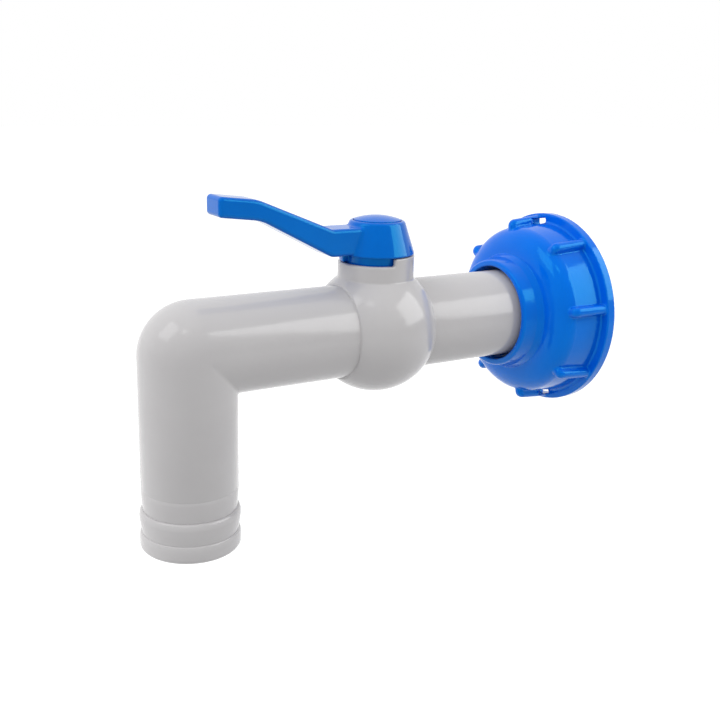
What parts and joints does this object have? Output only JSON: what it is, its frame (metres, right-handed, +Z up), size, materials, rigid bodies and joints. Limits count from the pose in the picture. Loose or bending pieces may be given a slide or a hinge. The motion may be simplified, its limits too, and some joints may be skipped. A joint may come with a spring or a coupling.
{
  "type": "ibc tank valve",
  "caption": "Plastic quarter-turn ball valve for a bulk container, with a right-angle hose tail and a ribbed swivel nut.",
  "frame": {"origin": "centre of the swivel nut's open end, on the axis of its thread", "axes": "+X along the pipe towards the tank, +Y away from the viewer, +Z up along the stem; the spout hangs towards -Z"},
  "size_m": [0.1849, 0.08, 0.1276],
  "materials": {
    "grey_plastic": "semi-gloss moulded plastic",
    "blue_nut_plastic": "semi-gloss moulded plastic",
    "blue_lever_plastic": "semi-gloss moulded plastic",
    "seat_plastic": "smooth waxy white plastic",
    "ball_plastic": "polished plastic",
    "rubber": "matt black rubber",
    "steel": "bright steel"
  },
  "bodies": {
    "valve_body": {"valve_housing": "grey_plastic", "elbow_spout": "grey_plastic", "inlet_tail": "grey_plastic", "flat_gasket": "rubber", "inlet_seat": "seat_plastic", "outlet_seat": "seat_plastic", "inlet_seat_ring": "rubber", "outlet_seat_ring": "rubber", "stem_washer": "seat_plastic"},
    "handle": {"lever_handle": "blue_lever_plastic", "handle_cap": "blue_lever_plastic", "handle_screw": "steel", "screw_washer": "steel", "stem": "ball_plastic", "lower_stem_ring": "rubber", "upper_stem_ring": "rubber", "ball": "ball_plastic"},
    "nut": {"swivel_nut": "blue_nut_plastic"}
  },
  "joints": [
    {"name": "handle_turn", "type": "hinge", "parent": "valve_body", "child": "handle", "pos_m": [-0.0892, 0, 0], "axis": [0, 0, 1], "range_deg": [0, 90]},
    {"name": "nut_spin", "type": "hinge", "parent": "valve_body", "child": "nut", "pos_m": [0, 0, 0], "axis": [1, 0, 0], "continuous": true}
  ]
}
